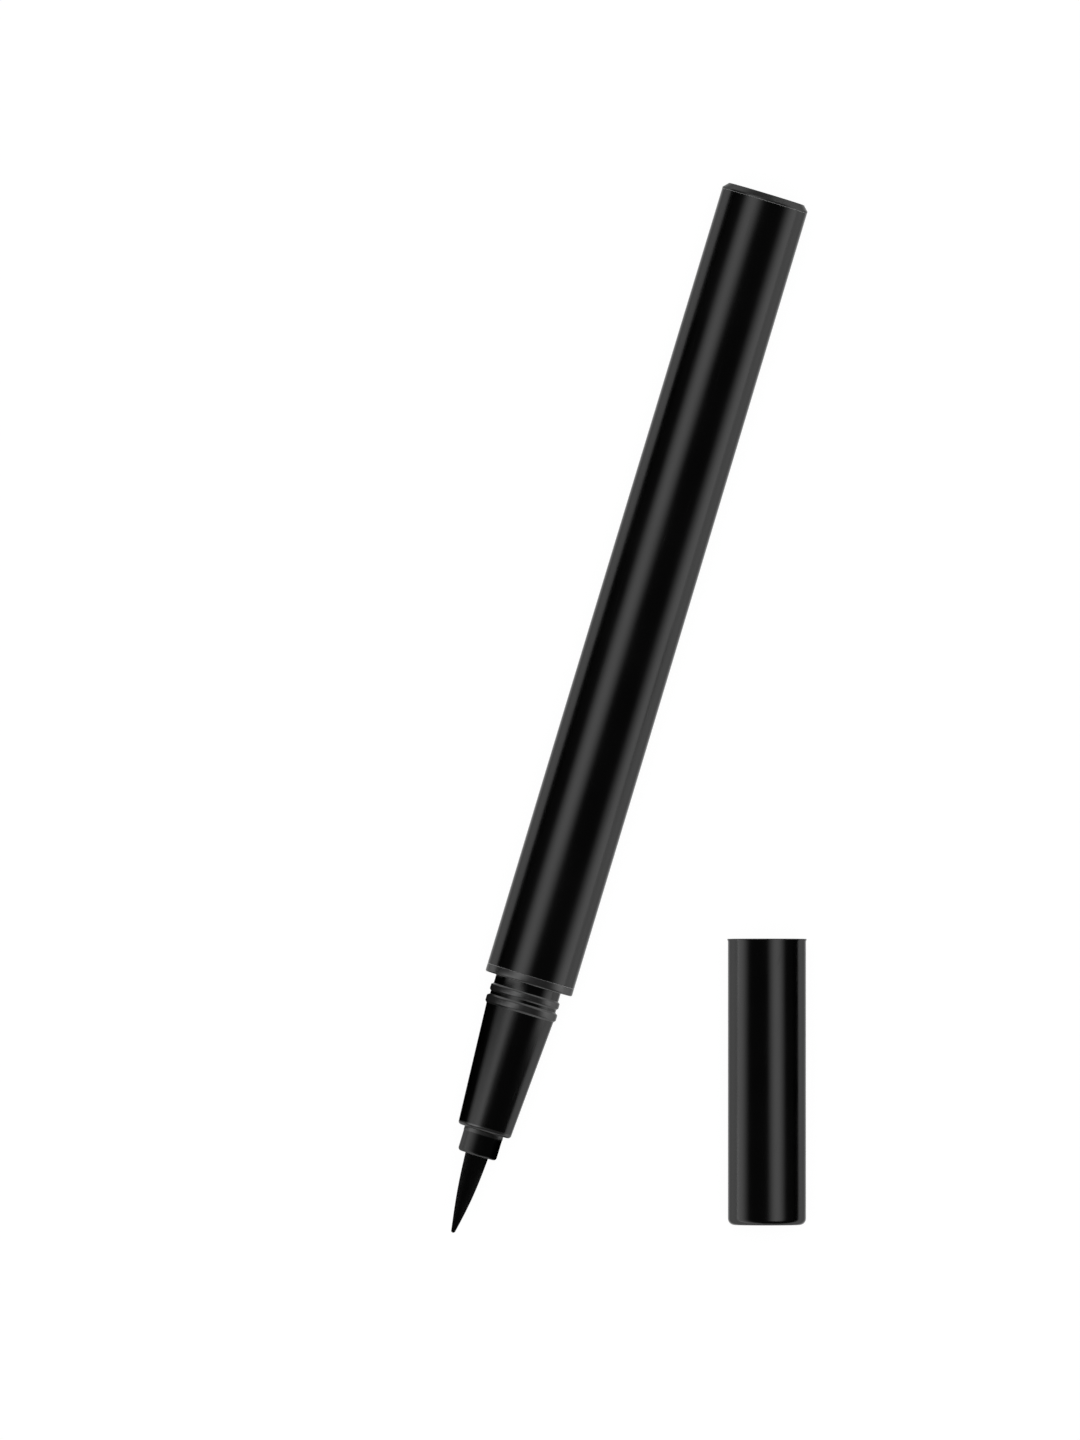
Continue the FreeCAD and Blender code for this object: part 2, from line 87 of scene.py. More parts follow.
capEnd = mounts["cap_end_face"]
penPlace = placeOf((0, 0, 0), (0, 1, 0))
capPlace = placeOf(capEnd["pos_m"], [-v for v in capEnd["axis"]])
tableTop = cadLow.z / mm


# Meshes

def roundedOutline(corners, arcSteps=7):
    # Each corner (radius, station, round, band) becomes an arc tangent to both of its sides: its centre is on
    # the corner's bisector, its points are at equal angles. A corner with no round stays one point.
    table = np.array([(*corner, 0, 0)[:4] for corner in corners], float)
    here, bend, band = table[:, :2], table[:, 2], table[:, 3]
    back = np.roll(here, 1, axis=0) - here
    ahead = np.roll(here, -1, axis=0) - here
    back /= np.linalg.norm(back, axis=1, keepdims=True)
    ahead /= np.linalg.norm(ahead, axis=1, keepdims=True)
    half = np.arccos(np.clip((back * ahead).sum(axis=1), -1, 1)) / 2
    middle = back + ahead
    middle /= np.maximum(np.linalg.norm(middle, axis=1, keepdims=True), 1e-9)
    centre = here + middle * (bend / np.sin(half))[:, None]
    first = here + back * (bend / np.tan(half))[:, None] - centre
    last = here + ahead * (bend / np.tan(half))[:, None] - centre
    start = np.arctan2(first[:, 1], first[:, 0])
    turn = np.arctan2(last[:, 1], last[:, 0]) - start
    turn = (turn + np.pi) % (2 * np.pi) - np.pi
    angle = start[:, None] + turn[:, None] * np.linspace(0, 1, arcSteps)
    arcs = centre[:, None] + bend[:, None, None] * np.stack([np.cos(angle), np.sin(angle)], axis=-1)
    bands = np.broadcast_to(band[:, None, None], (*angle.shape, 1))
    points = np.concatenate([arcs, bands], axis=-1)
    kept = (bend > 0)[:, None] | (np.arange(arcSteps) == 0)
    return points[kept]


def gridFaces(index):
    # Quads from each row of a grid of vertex numbers to the next, closed round the columns
    here, ahead = index[:-1], index[1:]
    return np.stack([here, ahead, np.roll(ahead, -1, axis=1), np.roll(here, -1, axis=1)], axis=-1)


def lathe(outline, steps):
    # x = radius * cos(angle), y = station, z = radius * sin(angle), over a closed outline and a full turn.
    # A point on the axis is one pole, and a side that lies on the axis makes no faces.
    radius, station, band = outline.T
    angle = np.linspace(0, 2 * np.pi, steps, endpoint=False)
    across, height = np.outer(radius, np.cos(angle)), np.outer(radius, np.sin(angle))
    points = np.stack([across, np.repeat(station[:, None], steps, axis=1), height], axis=-1)
    index = np.arange(len(radius) * steps).reshape(-1, steps)
    onAxis = radius < 1e-9
    index[onAxis] = index[onAxis][:, :1]
    faces = gridFaces(np.concatenate([index, index[:1]]))[~(onAxis & np.roll(onAxis, -1))]
    return points.reshape(-1, 3), faces.reshape(-1, 4), np.repeat(band, steps)


def newPiece(name, node, body, place, shape, finish, sharpAngle=32):
    # Puts a computed surface into a mesh that stands for a CAD node. A quad at a pole becomes a triangle.
    local, quads, band = shape
    first = quads[:, 0] == quads[:, 3]
    second = quads[:, 1] == quads[:, 2]
    plain = quads[~(first | second)]
    thin = np.concatenate([quads[first][:, :3], quads[second][:, [0, 1, 3]]])
    used, corners = np.unique(np.concatenate([plain.ravel(), thin.ravel()]), return_inverse=True)
    world = (local[used] @ place["axes"]) * mm + place["origin"]
    starts = np.concatenate([np.arange(len(plain)) * 4, len(plain) * 4 + np.arange(len(thin)) * 3])
    mesh = bpy.data.meshes.new(name)
    mesh.vertices.add(len(used))
    mesh.vertices.foreach_set("co", world.astype(np.float32).ravel())
    mesh.loops.add(len(corners))
    mesh.loops.foreach_set("vertex_index", corners.astype(np.int32).ravel())
    mesh.polygons.add(len(starts))
    mesh.polygons.foreach_set("loop_start", starts.astype(np.int32))
    mesh.polygons.foreach_set("use_smooth", np.ones(len(starts), bool))
    mesh.update(calc_edges=True)
    mesh.attributes.new("band", "FLOAT", "POINT").data.foreach_set("value", band[used].astype(np.float32))
    mesh.set_sharp_from_angle(angle=math.radians(sharpAngle))
    mesh.materials.append(finish)
    piece = bpy.data.objects.new(name, mesh)
    bpy.context.scene.collection.objects.link(piece)
    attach(piece, body)
    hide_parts(node)
    print("piece:", name, len(plain) * 2 + len(thin), "triangles")
    return piece


# Materials

def linearColour(hexText):
    # sRGB hex to linear RGBA
    channel = np.array([int(hexText[i:i + 2], 16) for i in (1, 3, 5)]) / 255
    linear = np.where(channel <= 0.04045, channel / 12.92, ((channel + 0.055) / 1.055) ** 2.4)
    return (*linear.tolist(), 1.0)


def addNode(tree, kind, settings=None, links=None, output=0):
    # Settings are the node's properties or its sockets' values, and links are socket: another node's output.
    # Gives back one of its own outputs.
    node = tree.nodes.new(kind)
    for name, value in (settings or {}).items():
        if isinstance(name, str) and name in node.bl_rna.properties:
            setattr(node, name, value)
        else:
            node.inputs[name].default_value = value
    for name, source in (links or {}).items():
        tree.links.new(source, node.inputs[name])
    return node.outputs[output] if node.outputs else None


def newFinish(name):
    # A material and its node tree, emptied
    finish = bpy.data.materials.new(name)
    finish.use_nodes = True
    tree = finish.node_tree
    tree.nodes.clear()
    return finish, tree


def closeFinish(tree, settings, links):
    # Ends a tree in one shader, which settings and links describe
    shader = addNode(tree, "ShaderNodeBsdfPrincipled", settings, links)
    addNode(tree, "ShaderNodeOutputMaterial", None, {"Surface": shader})


softMarks, plainMarks, fineMarks = 2.0, 3.0, 4.0  # octaves of noise in a pattern
patternMiddle = (0.3, 0.7)  # most of a pattern's values lie between these


def marksOf(tree, size, detail, stretch=1.0):
    # A pattern of cloudy marks of a real size in millimetres, drawn out along Y by a factor
    coords = addNode(tree, "ShaderNodeTexCoord", output="Object")
    drawn = addNode(tree, "ShaderNodeMapping", {"Scale": (1, 1 / stretch, 1)}, {"Vector": coords})
    settings = {"Scale": 1 / (size * mm), "Detail": detail}
    return addNode(tree, "ShaderNodeTexNoise", settings, {"Vector": drawn})


def twoTones(colours):
    # Settings of a colour mix between two hex colours
    return {"data_type": "RGBA", 6: linearColour(colours[0]), 7: linearColour(colours[1])}


def middleTo(low, high):
    # Settings that carry the middle of a pattern's range to a range of the shader's
    least, most = patternMiddle
    return {"From Min": least, "From Max": most, "To Min": low, "To Max": high}


# The IOR is set below the 1.5 of ABS and lacquer, to match their dim glints
pianoBlack = {
    "colours": ("#010101", "#030303"), "rough": (0.18, 0.23), "smudge": 9.0, "ior": 1.42, "shine": 0.5,
    "scratch": 0.5, "scratchLength": 30.0, "scratchCrest": (0.66, 0.74), "scratchRough": 0.08,
    "peel": 1.1, "peelHeight": 0.01, "peelStrength": 0.12,
    # The band colour here is painted highlight: it lightens the flange, ribs, tail chamfer and edge bands as
    # if they caught the light
    "bandAndGlintColour": "#1d1d1d", "bandRough": 0.08, "bandShine": 0.9, "edge": (0.36, 0.68), "edgeShine": 0.1,
}
stoveLacquer = {
    **pianoBlack, "rough": (0.17, 0.21), "smudge": 7.0, "scratch": 0.4, "scratchLength": 20.0, "peel": 0.9,
    # Here the band colour is the thin spray's own tone inside the cap
    "bandAndGlintColour": "#0e0e0e", "bandRough": 0.4, "bandShine": 0.1,
}


def deepGloss(name, look):
    # ABS moulded in a polished tool, or aluminium under stove lacquer: deep black with soft-edged glints that
    # weaken towards the outline, a trace of orange peel, thumb smudges and hair scratches (drawn coarser than
    # they are, to show). Where band is 1 the tool was left grained or the spray is thin: duller, and paler.
    # On the pen's flange, ribs, tail chamfer and edge bands that paler grey is painted highlight, as if those
    # edges caught the light; inside the cap it is the thin spray's own tone.
    finish, tree = newFinish(name)
    smudge = marksOf(tree, look["smudge"], plainMarks)
    hair = marksOf(tree, look["scratch"], fineMarks, look["scratchLength"])
    peel = marksOf(tree, look["peel"], softMarks)
    band = addNode(tree, "ShaderNodeAttribute", {"attribute_name": "band"}, output="Fac")
    facing = addNode(tree, "ShaderNodeLayerWeight", output="Facing")
    black = addNode(tree, "ShaderNodeMix", twoTones(look["colours"]), {0: smudge}, 2)
    # Where band is 1 the paler grey is painted highlight on the pen's edges, and the thin spray's own tone
    # inside the cap
    paleBandAndGlint = {"data_type": "RGBA", 7: linearColour(look["bandAndGlintColour"])}
    colour = addNode(tree, "ShaderNodeMix", paleBandAndGlint, {0: band, 6: black}, 2)
    smooth = addNode(tree, "ShaderNodeMapRange", middleTo(*look["rough"]), {"Value": smudge})
    low, high = look["scratchCrest"]
    crests = {"From Min": low, "From Max": high, "To Max": look["scratchRough"]}
    scratched = addNode(tree, "ShaderNodeMapRange", crests, {"Value": hair})
    duller = {"operation": "MULTIPLY_ADD", 1: look["bandRough"]}
    grained = addNode(tree, "ShaderNodeMath", duller, {0: band, 2: smooth})
    rough = addNode(tree, "ShaderNodeMath", {"operation": "ADD"}, {0: grained, 1: scratched})
    levels = {"To Min": look["shine"], "To Max": look["bandShine"]}
    shine = addNode(tree, "ShaderNodeMapRange", levels, {"Value": band})
    low, high = look["edge"]
    fall = {"interpolation_type": "SMOOTHSTEP", "From Min": low, "From Max": high, "To Min": 1.0}
    outline = addNode(tree, "ShaderNodeMapRange", {**fall, "To Max": look["edgeShine"]}, {"Value": facing})
    glint = addNode(tree, "ShaderNodeMath", {"operation": "MULTIPLY"}, {0: shine, 1: outline})
    relief = {"Strength": look["peelStrength"], "Distance": look["peelHeight"] * mm}
    bump = addNode(tree, "ShaderNodeBump", relief, {"Height": peel})
    closeFinish(tree, {"IOR": look["ior"]},
                {"Base Color": colour, "Roughness": rough, "Specular IOR Level": glint, "Normal": bump})
    return finish


retainerPlastic = {"colours": ("#141414", "#191919"), "rough": (0.38, 0.47), "grain": 0.12, "ior": 1.49}
innerCapPlastic = {"colours": ("#222222", "#282828"), "rough": (0.36, 0.45), "grain": 0.1, "ior": 1.49}
collectorPlastic = {"colours": ("#38383a", "#404042"), "rough": (0.36, 0.45), "grain": 0.2, "ior": 1.54}
stopperRubber = {"colours": ("#19191b", "#1f1f21"), "rough": (0.56, 0.66), "grain": 0.15, "ior": 1.52}
tankPlastic = {"colours": ("#d2d0ca", "#dcdad5"), "rough": (0.26, 0.35), "grain": 0.3, "ior": 1.49}
grainRelief = {"Strength": 0.3, "Distance": 0.01 * mm}


def grainedMoulding(name, look):
    # Polypropylene, ABS or nitrile rubber from a spark-eroded tool: an even satin with a fine grain, which is
    # drawn coarser than the real 0.03 mm so that it shows
    finish, tree = newFinish(name)
    grain = marksOf(tree, look["grain"], plainMarks)
    colour = addNode(tree, "ShaderNodeMix", twoTones(look["colours"]), {0: grain}, 2)
    rough = addNode(tree, "ShaderNodeMapRange", middleTo(*look["rough"]), {"Value": grain})
    bump = addNode(tree, "ShaderNodeBump", grainRelief, {"Height": grain})
    closeFinish(tree, {"IOR": look["ior"]}, {"Base Color": colour, "Roughness": rough, "Normal": bump})
    return finish


nibFibre = {
    "colours": ("#010101", "#030303"), "rough": (0.47, 0.65), "ior": 1.4, "shine": 0.04,
    "fibre": 0.07, "fibreLength": 40.0,
}
wickFibre = {**nibFibre, "colours": ("#121212", "#1c1c1c"), "rough": (0.62, 0.8), "shine": 0.1, "fibre": 0.09}
fibreRelief = {"Strength": 0.5, "Distance": 0.02 * mm}


def soakedFibre(name, look):
    # A bundle of polyester fibres wet with ink: near black and streaked along its length. Real fibres are
    # about 0.03 mm across and are drawn coarser, so that they show.
    finish, tree = newFinish(name)
    streak = marksOf(tree, look["fibre"], plainMarks, look["fibreLength"])
    colour = addNode(tree, "ShaderNodeMix", twoTones(look["colours"]), {0: streak}, 2)
    rough = addNode(tree, "ShaderNodeMapRange", middleTo(*look["rough"]), {"Value": streak})
    bump = addNode(tree, "ShaderNodeBump", fibreRelief, {"Height": streak})
    closeFinish(tree, {"IOR": look["ior"], "Specular IOR Level": look["shine"]},
                {"Base Color": colour, "Roughness": rough, "Normal": bump})
    return finish


springWire = {"colours": ("#bdbcb8", "#cfcec9"), "rough": (0.24, 0.38), "mark": 0.15}
groundBall = {"colours": ("#c3c2be", "#d3d2ce"), "rough": (0.1, 0.22), "mark": 0.2}


def stainlessSteel(name, look):
    # Stainless steel, drawn or ground: a bright grey whose tool marks break its reflections a little
    finish, tree = newFinish(name)
    mark = marksOf(tree, look["mark"], fineMarks)
    colour = addNode(tree, "ShaderNodeMix", twoTones(look["colours"]), {0: mark}, 2)
    rough = addNode(tree, "ShaderNodeMapRange", middleTo(*look["rough"]), {"Value": mark})
    closeFinish(tree, {"Metallic": 1.0}, {"Base Color": colour, "Roughness": rough})
    return finish


# Pen pieces

barrel = {"wall": 1.25, "draft": 0.1, "gripLength": 30.0, "edge": 0.03, "steps": 160}


def makeBarrel():
    # A tube turned about the axis, whose outside narrows by the draft from the grip to the tail
    front, rear, radius = extent("barrel", penPlace)
    bore, tail, edge = radius - barrel["wall"], radius - barrel["draft"], barrel["edge"]
    outline = roundedOutline([
        (bore, front, edge),
        (radius, front, edge),
        (radius, front + barrel["gripLength"]),
        (tail, rear, edge / 2),
        (bore, rear, edge),
    ])
    shape = lathe(outline, barrel["steps"])
    finish = deepGloss("mouldedBlackAbs", pianoBlack)
    return newPiece("barrelTube", "barrel", "pen", penPlace, shape, finish)


# The dish with its nub is the gate of the moulding
tailPlug = {
    "chamferDepth": 0.66, "chamferInset": 0.64, "chamferEdge": 0.04,
    "spigot": 4.29, "spigotLength": 4.02, "spigotEdge": 0.3, "wall": 1.2, "floor": 1.7,
    "dish": 1.3, "dishLand": 0.3, "dishDepth": 0.12, "dishEdge": 0.05,
    "nub": 0.4, "nubHeight": 0.06, "bandShine": 0.45, "steps": 160,
}


def makeTailPlug():
    # A cup turned about the axis: spigot, chamfered end and the gate's dish
    look = tailPlug
    front, rear, radius = extent("tail_plug", penPlace)
    seat, coreEnd, dishFloor = front + look["spigotLength"], rear - look["floor"], rear - look["dishDepth"]
    core, nubTop = look["spigot"] - look["wall"], dishFloor + look["nubHeight"]
    outline = roundedOutline([
        (core, front),
        (look["spigot"], front, look["spigotEdge"]),
        (look["spigot"], seat),
        # The land, chamfer and rim of the end are band 1: paler grey painted there as highlight
        (radius, seat, 0, 1),
        (radius, rear - look["chamferDepth"], look["chamferEdge"], 1),
        (radius - look["chamferInset"], rear, look["chamferEdge"], 1),
        (look["dish"] + look["dishLand"], rear, 0, 1),
        (look["dish"], rear, look["dishEdge"]),
        (look["dish"] - look["dishDepth"], dishFloor, look["dishEdge"]),
        (look["nub"], dishFloor, look["dishEdge"]),
        (look["nub"] - look["nubHeight"], nubTop),
        (0, nubTop),
        (0, coreEnd),
        (core, coreEnd, look["spigotEdge"]),
    ])
    shape = lathe(outline, look["steps"])
    finish = deepGloss("tailPlugAbs", {**pianoBlack, "bandShine": look["bandShine"]})
    return newPiece("tailPlug", "tail_plug", "pen", penPlace, shape, finish)


nose = {
    "flangeEdge": 0.22, "flangeLength": 0.98, "flangeBackEdge": 0.02,
    "neck": 4.14, "neckLength": 1.1, "neckFillet": 0.08,
    "guideRib": 4.4, "guideWidth": 1.0, "guideCrest": 0.62, "ribSpace": 4.2, "ribSpaceWidth": 0.37,
    "snapRib": 4.52, "snapWidth": 1.2, "snapCrest": 0.72, "ribEdge": 0.14, "cone": 4.29,
    "tip": 3.35, "tipEdge": 0.4, "tipBand": 0.5, "bandStep": 0.02, "frontBore": 2.21, "frontBoreDepth": 8.0,
    "boreEdge": 0.1, "rearBore": 3.2, "spigot": 4.29, "spigotEdge": 0.3, "steps": 160,
}


def ribCorners(rib, front, before, behind):
    # Foot, crest and foot of one rib with a painted highlight of paler grey,
    # each foot with a narrow step back to the plain black
    radius, width, crest = nose[rib + "Rib"], nose[rib + "Width"], nose[rib + "Crest"]
    slope, step = (width - crest) / 2, nose["bandStep"]
    return [
        (before, front - step),
        (before, front, 0, 1),
        (radius, front + slope, nose["ribEdge"], 1),
        (radius, front + slope + crest, nose["ribEdge"], 1),
        (behind, front + width, 0, 1),
        (behind, front + width + step),
    ]


def makeNose():
    # Cone, ribs, neck, flange and spigot turned about the axis, with a stepped bore through them
    look = nose
    front, rear, radius = extent("nose", penPlace)
    guideFront = -look["neckLength"] - look["guideWidth"]
    snapFront = guideFront - look["ribSpaceWidth"] - look["snapWidth"]
    stop, bandEnd = front + look["frontBoreDepth"], front + look["tipBand"]
    bandRadius = look["tip"] + (look["cone"] - look["tip"]) * look["tipBand"] / (snapFront - front)
    faceStart = radius - 2 * look["flangeEdge"]
    outline = roundedOutline([
        # The tip edge, the ribs and the flange are band 1: paler grey painted there as highlight
        (look["frontBore"], front, look["boreEdge"], 1),
        (look["tip"], front, look["tipEdge"], 1),
        (bandRadius, bandEnd, 0, 1),
        (bandRadius, bandEnd + look["bandStep"]),
        *ribCorners("snap", snapFront, look["cone"], look["ribSpace"]),
        *ribCorners("guide", guideFront, look["ribSpace"], look["neck"]),
        (look["neck"], 0.0, look["neckFillet"]),
        (faceStart, 0.0),
        (faceStart + look["bandStep"], 0.0, 0, 1),
        (radius, 0.0, look["flangeEdge"], 1),
        (radius, look["flangeLength"], look["flangeBackEdge"], 1),
        (look["spigot"], look["flangeLength"]),
        (look["spigot"], rear, look["spigotEdge"]),
        (look["rearBore"], rear),
        (look["rearBore"], stop),
        (look["frontBore"], stop),
    ])
    shape = lathe(outline, look["steps"])
    finish = deepGloss("noseAbs", pianoBlack)
    return newPiece("noseCone", "nose", "pen", penPlace, shape, finish)


nibHolder = {
    "radius": 2.45, "frontEdge": 0.4, "reach": 3.1,
    "band": 2.48, "bandLength": 0.5, "bandEdge": 0.05, "bandGap": 0.02,
    "spigot": 2.2, "spigotEdge": 0.15, "nibHole": 1.5, "holeEdge": 0.12,
    "recess": 1.8, "recessLength": 1.02, "rough": (0.27, 0.32), "steps": 128,
}


def makeNibHolder():
    # A bush turned about the axis: collar with a pale band at its foot, whose paler grey is painted
    # highlight, and the spigot behind it
    look = nibHolder
    front, rear, _ = extent("nib_holder", penPlace)
    seat, bandFront = front + look["reach"] - look["bandGap"], front + look["reach"] - look["bandLength"]
    recessFront = rear - look["recessLength"]
    outline = roundedOutline([
        (look["nibHole"], front, look["holeEdge"]),
        (look["radius"], front, look["frontEdge"]),
        (look["radius"], bandFront),
        (look["band"], bandFront, 0, 1),
        (look["band"], seat, look["bandEdge"], 1),
        (look["spigot"], seat),
        (look["spigot"], rear, look["spigotEdge"]),
        (look["recess"], rear),
        (look["recess"], recessFront),
        (look["nibHole"], recessFront),
    ])
    shape = lathe(outline, look["steps"])
    finish = deepGloss("holderAbs", {**pianoBlack, "rough": look["rough"]})
    return newPiece("nibHolder", "nib_holder", "pen", penPlace, shape, finish)


brushNib = {
    "radius": 1.45, "tip": 0.27, "taper": 9.95, "belly": 0.18, "lean": 0.1,
    "root": 1.75, "rootLength": 1.0, "socket": 0.95, "socketLength": 3.0,
    "fibres": 66, "groove": 0.022, "grooveStart": 0.06, "grooveFull": 0.31, "grooveEnd": 1.001,
    "domeRows": 9, "rows": 150, "steps": 396, "sharpAngle": 60,
}


def makeBrushNib():
    # The point is a small dome, then a straight taper plus a belly of sin(pi * share of the taper).
    # Its fibres are grooves of depth * sin(half the fibre count * angle) squared.
    # The tip leans over by the cube of the distance from the foot of the taper. Where grooves start, are full
    # and end are shares of the taper.
    look = brushNib
    front, rear, _ = extent("brush_nib", penPlace)
    tip, full = look["tip"], look["radius"]
    dome = np.linspace(0, np.pi / 2, look["domeRows"], endpoint=False)
    share = np.linspace(0, 1, look["rows"])
    taper = tip + (full - tip) * share + look["belly"] * np.sin(np.pi * share)
    radius = np.concatenate([tip * np.sin(dome), taper])
    station = front + np.concatenate([tip * (1 - np.cos(dome)), tip + (look["taper"] - tip) * share])
    rootFront, socketFront = rear - look["rootLength"], rear - look["socketLength"]
    back = [
        (full, rootFront),
        (look["root"], rootFront),
        (look["root"], rear),
        (look["socket"], rear),
        (look["socket"], socketFront),
        (0, socketFront),
    ]
    outline = np.concatenate([np.stack([radius, station], axis=1), back])
    points, faces, band = lathe(np.column_stack([outline, np.zeros(len(outline))]), look["steps"])
    angle = np.arctan2(points[:, 2], points[:, 0])
    past = (points[:, 1] - front) / look["taper"]
    onTaper = past < look["grooveEnd"]
    fade = np.clip((past - look["grooveStart"]) / (look["grooveFull"] - look["grooveStart"]), 0, 1)
    depth = look["groove"] * fade * onTaper * np.sin(look["fibres"] / 2 * angle) ** 2
    points[:, [0, 2]] -= depth[:, None] * np.stack([np.cos(angle), np.sin(angle)], axis=1)
    points[:, 0] -= look["lean"] * np.clip(1 - past, 0, 1) ** 3
    shape, sharp = (points, faces, band), look["sharpAngle"]
    finish = soakedFibre("inkSoakedNib", nibFibre)
    return newPiece("brushNib", "brush_nib", "pen", penPlace, shape, finish, sharp)


# Cap pieces

capShell = {
    "radius": 4.8, "corner": 0.8, "lipLength": 0.3, "rim": 0.12, "rimEdge": 0.05,
    "bore": 4.55, "leadIn": 0.1, "leadInEdge": 0.02, "innerBore": 4.35, "innerDepth": 23.77,
    "endWall": 0.35, "insideCorner": 0.55, "steps": 160,
}


def makeCapShell():
    # A thin cup turned about the cap's axis, with a rolled lip and a stepped bore
    look = capShell
    closed, mouth, lip = extent("cap_shell", capPlace)
    outline = roundedOutline([
        (0, closed),
        (look["radius"], closed, look["corner"]),
        (look["radius"], mouth - look["lipLength"]),
        (lip, mouth - look["rim"]),
        (lip, mouth, look["rimEdge"]),
        (look["bore"] + look["leadIn"], mouth, look["leadInEdge"]),
        (look["bore"], mouth - look["leadIn"], 0, 1),
        (look["bore"], look["innerDepth"], 0, 1),
        (look["innerBore"], look["innerDepth"], 0, 1),
        (look["innerBore"], look["endWall"], look["insideCorner"], 1),
        (0, look["endWall"], 0, 1),
    ])
    shape = lathe(outline, look["steps"])
    finish = deepGloss("blackStoveLacquer", stoveLacquer)
    return newPiece("capShell", "cap_shell", "cap", capPlace, shape, finish)


retainer = {"hole": 3.99, "edge": 0.08, "steps": 128}


def makeRetainer():
    # A ring turned about the cap's axis
    back, front, radius = extent("inner_cap_retainer", capPlace)
    hole, edge = retainer["hole"], retainer["edge"]
    sides = [(hole, back), (radius, back), (radius, front), (hole, front)]
    shape = lathe(roundedOutline([(*side, edge) for side in sides]), retainer["steps"])
    finish = grainedMoulding("retainerPolypropylene", retainerPlastic)
    return newPiece("retainerRing", "inner_cap_retainer", "cap", capPlace, shape, finish)


innerCap = {
    "radius": 3.4, "endEdge": 0.3, "guideTail": 0.6, "guideEdge": 0.12, "seatMouth": 3.77, "seat": 3.37,
    "seatDepth": 4.0, "chamber": 2.85, "end": 0.5, "chamberCorner": 0.4, "steps": 128,
}


def makeInnerCap():
    # A cup turned about the cap's axis, with a guide collar and a tapered seat at its mouth
    look = innerCap
    closed, mouth, guide = extent("inner_cap", capPlace)
    seatEnd, edge = mouth - look["seatDepth"], look["guideEdge"]
    guideRear, floor = seatEnd - look["guideTail"], closed + look["end"]
    outline = roundedOutline([
        (0, closed),
        (look["radius"], closed, look["endEdge"]),
        (look["radius"], guideRear, edge),
        (guide, guideRear, edge),
        (guide, mouth, edge),
        (look["seatMouth"], mouth, edge),
        (look["seat"], seatEnd),
        (look["chamber"], seatEnd, edge),
        (look["chamber"], floor, look["chamberCorner"]),
        (0, floor),
    ])
    shape = lathe(outline, look["steps"])
    finish = grainedMoulding("innerCapPolypropylene", innerCapPlastic)
    return newPiece("innerCap", "inner_cap", "inner_cap", capPlace, shape, finish)


capSpring = {
    "wire": 0.4, "turns": 9, "stepsPerTurn": 56, "wireSteps": 18, "domeRings": 4, "dome": 0.5,
    "sharpAngle": 60,
}


def makeCapSpring():
    # The wire's circle carried along a helix: centre = (coil * cos, climb * angle, coil * sin).
    # The circle lies in the plane of the radius and of the direction square to it and to the path.
    # A low dome closes each end.
    look = capSpring
    low, high, outer = extent("cap_spring", capPlace)
    wire, rings = look["wire"] / 2, look["domeRings"]
    coil, first, turn = outer - wire, low + wire, 2 * np.pi * look["turns"]
    climb = (high - low - look["wire"]) / turn
    path = np.linspace(0, turn, look["turns"] * look["stepsPerTurn"] + 1)
    angle = np.pad(path, rings, mode="edge")
    rise = np.linspace(0, np.pi / 2, rings, endpoint=False)
    size = np.concatenate([np.sin(rise), np.ones(len(path)), np.sin(rise)[::-1]])
    push = look["dome"] * np.concatenate([-np.cos(rise), np.zeros(len(path)), np.cos(rise)[::-1]])
    cos, sin, flat = np.cos(angle), np.sin(angle), np.zeros(len(angle))
    way = np.stack([-coil * sin, flat + climb, coil * cos], axis=1)
    way /= np.linalg.norm(way, axis=1, keepdims=True)
    out = np.stack([cos, flat, sin], axis=1)
    side = np.cross(way, out)
    centre = np.stack([coil * cos, first + climb * angle, coil * sin], axis=1) + (push * wire)[:, None] * way
    around = np.linspace(0, 2 * np.pi, look["wireSteps"], endpoint=False)[:, None]
    ring = np.cos(around) * out[:, None] - np.sin(around) * side[:, None]
    points = centre[:, None] + ring * (wire * size)[:, None, None]
    index = np.arange(len(angle) * look["wireSteps"]).reshape(len(angle), -1)
    index[[0, -1]] = index[[0, -1], :1]
    shape = points.reshape(-1, 3), gridFaces(index).reshape(-1, 4), np.zeros(index.size)
    sharp = look["sharpAngle"]
    finish = stainlessSteel("drawnSpringSteel", springWire)
    spring = newPiece("capSpring", "cap_spring", "cap", capPlace, shape, finish, sharp)
    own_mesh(spring)
    return spring


barrelPiece, tailPiece = makeBarrel(), makeTailPlug()
nosePiece, holderPiece, nibPiece = makeNose(), makeNibHolder(), makeBrushNib()
capPieces = [makeCapShell(), makeRetainer(), makeInnerCap(), makeCapSpring()]

# Pieces inside the pen keep their CAD mesh and get a finish

innerFinishes = {
    "relay_wick": soakedFibre("wickPolyester", wickFibre),
    "collector": grainedMoulding("collectorAbs", collectorPlastic),
    "tank_stopper": grainedMoulding("stopperNitrile", stopperRubber),
    "ink_tank": grainedMoulding("tankPolypropylene", tankPlastic),
    "mixing_ball": stainlessSteel("groundBallSteel", groundBall),
}
for node, finish in innerFinishes.items():
    nodes[node].data.materials.clear()
    nodes[node].data.materials.append(finish)
print("inside the pen:", len(innerFinishes), "finishes")


# Table, light and camera

def newStage(name, corners, finish):
    # A flat card that belongs to the studio, with four corners in world millimetres
    mesh = bpy.data.meshes.new(name)
    mesh.from_pydata([tuple(corner) for corner in corners * mm], [], [(0, 1, 2, 3)])
    mesh.materials.append(finish)
    piece = bpy.data.objects.new(name, mesh)
    bpy.context.scene.collection.objects.link(piece)
    return piece


table = {"size": 40000.0, "white": "#e6e6e6", "ownLight": 0.86, "strength": 1.11}


